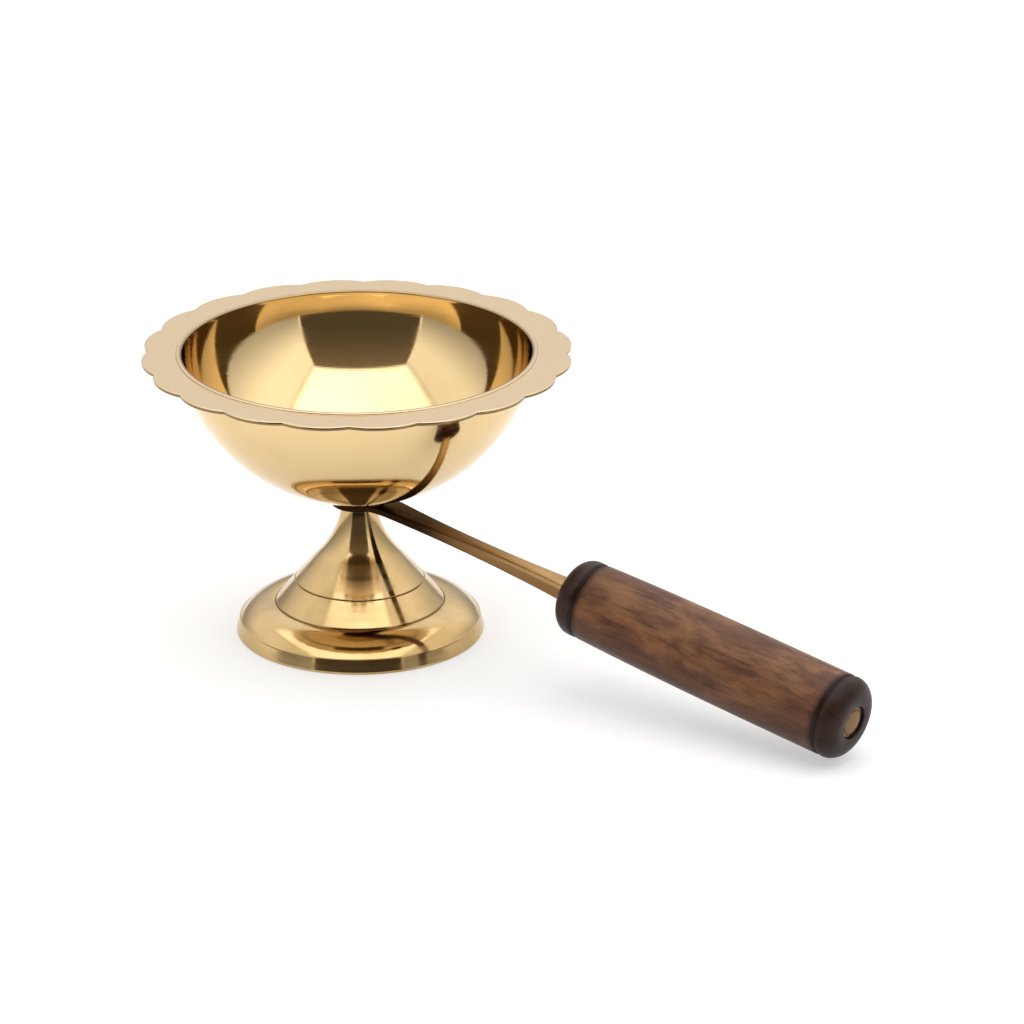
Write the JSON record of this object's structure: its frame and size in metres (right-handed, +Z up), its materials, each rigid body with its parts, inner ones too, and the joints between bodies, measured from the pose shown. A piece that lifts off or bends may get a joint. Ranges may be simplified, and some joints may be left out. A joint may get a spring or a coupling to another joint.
{
  "type": "aarti lamp",
  "caption": "Hand-held ceremonial lamp: polished brass bowl with a scalloped flange on a hollow bell foot, carried by a sloping brass arm with a turned wooden grip.",
  "frame": {"origin": "centre of the foot's resting plane, on the axis of bowl and foot", "axes": "+Z up along the axis of bowl and foot, +X level along the arm towards the grip"},
  "size_m": [0.2427, 0.1272, 0.0889],
  "materials": {
    "bowl_brass": "polished, flange satin",
    "foot_brass": "polished, fine turning lines",
    "arm_brass": "satin, slightly dulled",
    "grip_wood": "turned, oiled, ends stained dark",
    "washer_brass": "satin",
    "clamp_steel": "plain, zinc plated"
  },
  "bodies": {
    "root": {"bowl": "bowl_brass", "pedestal": "foot_brass", "arm": "arm_brass", "grip": "grip_wood", "tang_washer": "washer_brass", "clamp_stud": "clamp_steel", "clamp_washer": "clamp_steel", "clamp_nut": "clamp_steel"}
  },
  "joints": []
}
